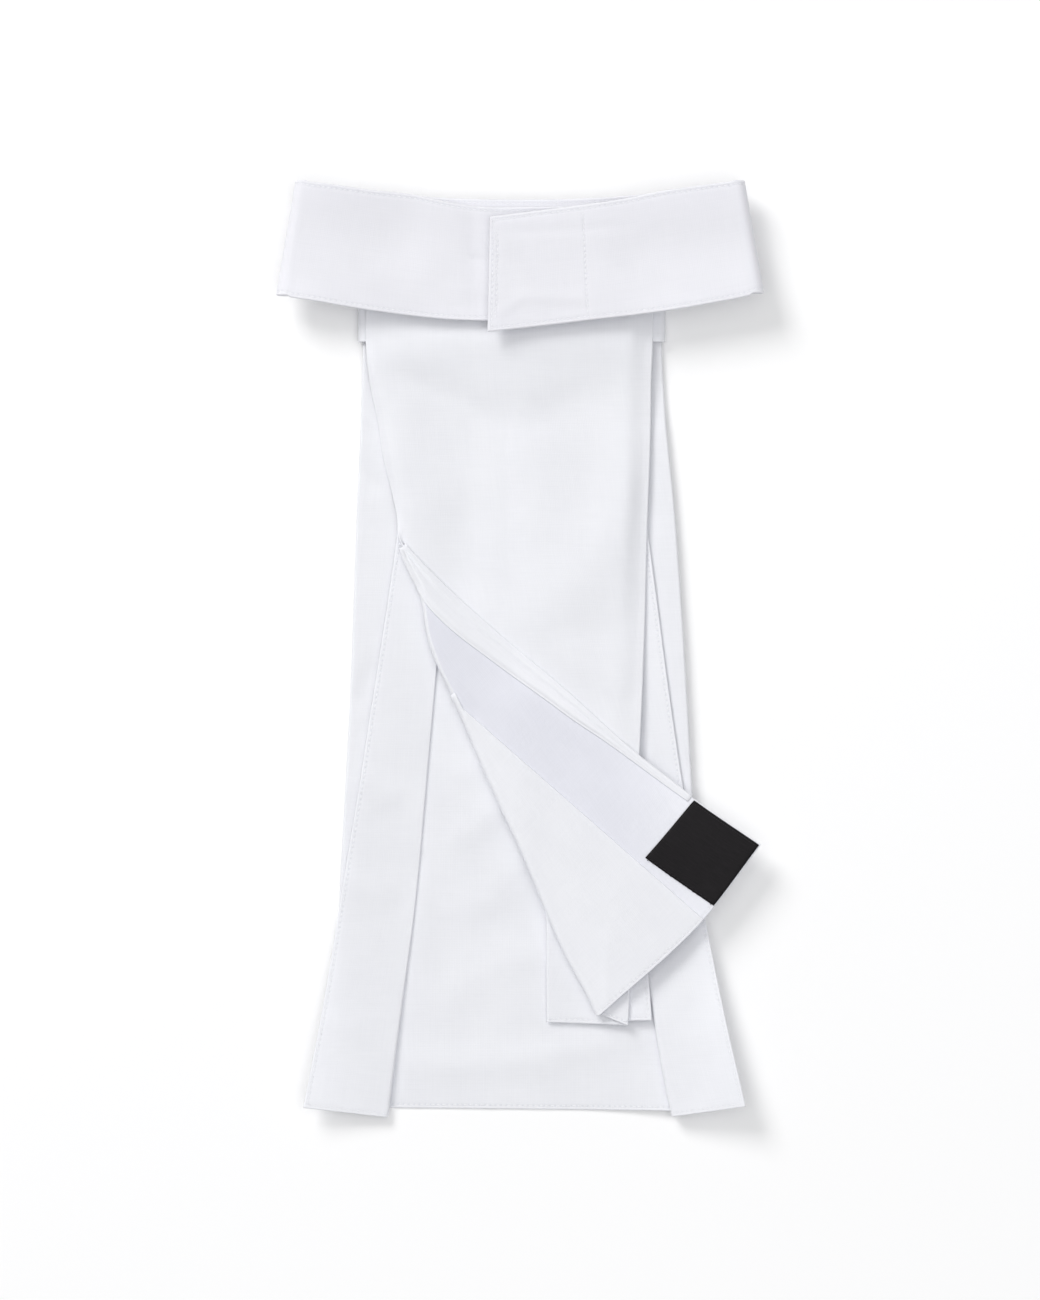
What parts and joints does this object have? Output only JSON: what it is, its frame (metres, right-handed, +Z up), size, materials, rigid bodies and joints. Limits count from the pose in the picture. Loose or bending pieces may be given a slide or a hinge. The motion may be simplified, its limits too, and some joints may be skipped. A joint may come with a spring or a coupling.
{
  "type": "equestrian stock tie",
  "caption": "White cotton riding stock tie laid flat: closed neck band with hook-and-loop closure over pleated tails, the front tail's corner turned back to a plain black label.",
  "frame": {"origin": "on the surface the tie lies on, under the centre of its outline", "axes": "+Y from the hems of the tails to the neck band, +Z up out of the surface on the front tail's side, +X to the right seen from above"},
  "size_m": [0.1978, 0.3797, 0.0201],
  "materials": {
    "cotton_poplin": "white cotton poplin, fine plain weave, soft sheen",
    "stiffened_cotton": "white cotton poplin over a stiff interlining, edge-stitched",
    "closure_loops": "white brushed nylon loop tape",
    "closure_hooks": "white woven nylon hook tape",
    "woven_label": "black satin-woven label, bare"
  },
  "bodies": {
    "root": {"neck_band": "stiffened_cotton", "loop_tape": "closure_loops", "hook_tape": "closure_hooks", "rear_tail": "cotton_poplin", "keeper_sleeve": "cotton_poplin", "front_tail": "cotton_poplin", "front_tail_facing": "cotton_poplin", "front_tail_rolled_edge": "cotton_poplin", "woven_label": "woven_label"}
  },
  "joints": []
}
